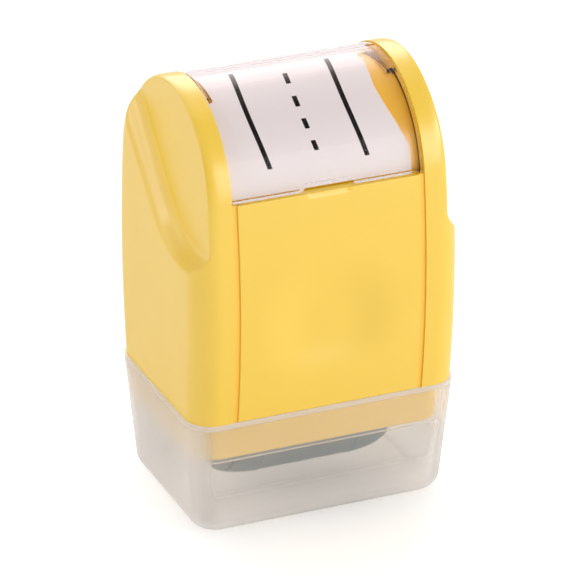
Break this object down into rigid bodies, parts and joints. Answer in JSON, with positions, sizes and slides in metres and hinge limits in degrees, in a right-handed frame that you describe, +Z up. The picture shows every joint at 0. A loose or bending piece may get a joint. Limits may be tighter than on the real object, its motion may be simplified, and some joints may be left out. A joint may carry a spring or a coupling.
{
  "type": "line roller stamp",
  "caption": "Hand-held self-inking roller stamp in a rounded housing with a clear label window, which stands on a see-through cap over its roller.",
  "frame": {"origin": "middle of the cap's underside, which the stamp stands on", "axes": "+Z up, +X to the right along the print roller, -Y to the front with the label's nail notch"},
  "size_m": [0.0474, 0.0368, 0.0745],
  "materials": {
    "yellow_plastic": "satin moulded plastic",
    "frosted_plastic": "lightly frosted, see-through",
    "clear_plastic": "clear, glossy",
    "white_card": "smooth white card",
    "white_plastic": "satin",
    "grey_plastic": "satin",
    "grey_rubber": "matt",
    "ink_foam": "open foam, inked",
    "steel": "drawn wire"
  },
  "bodies": {
    "cap": {"cap": "frosted_plastic"},
    "housing": {"chassis": "yellow_plastic", "left_cheek": "yellow_plastic", "right_cheek": "yellow_plastic", "front_panel": "yellow_plastic", "back_panel": "yellow_plastic", "label_bed": "yellow_plastic", "label_card": "white_card", "front_tie_rod": "steel", "back_tie_rod": "steel", "left_cartridge_plate": "white_plastic", "right_cartridge_plate": "white_plastic", "front_cartridge_lip": "white_plastic", "back_cartridge_lip": "white_plastic", "ink_tank": "white_plastic", "refill_plug": "grey_rubber", "ink_roller_axle": "steel", "roller_axle": "steel", "left_axle_clip": "steel", "right_axle_clip": "steel"},
    "window": {"window_hood": "clear_plastic"},
    "print_roller": {"stamp_band": "grey_rubber", "roller_core": "grey_plastic", "left_roller_end_cap": "grey_plastic", "right_roller_end_cap": "grey_plastic", "left_roller_bush": "white_plastic", "right_roller_bush": "white_plastic"},
    "ink_roller": {"ink_foam_sleeve": "ink_foam", "ink_roller_core": "white_plastic"}
  },
  "joints": [
    {"name": "cap_pull", "type": "slide", "parent": "cap", "child": "housing", "axis": [0, 0, 1], "range_m": [0, 0.024]},
    {"name": "window_lift", "type": "slide", "parent": "housing", "child": "window", "axis": [0, 0, 1], "range_m": [0, 0.018]},
    {"name": "print_roller_spin", "type": "hinge", "parent": "housing", "child": "print_roller", "pos_m": [0, 0, 0.015], "axis": [1, 0, 0], "continuous": true},
    {"name": "ink_roller_spin", "type": "hinge", "parent": "housing", "child": "ink_roller", "pos_m": [0, 0, 0.0327], "axis": [1, 0, 0], "continuous": true}
  ],
  "couplings": [
    {"joint": "ink_roller_spin", "follows": "print_roller_spin", "ratio": -1.8833}
  ]
}
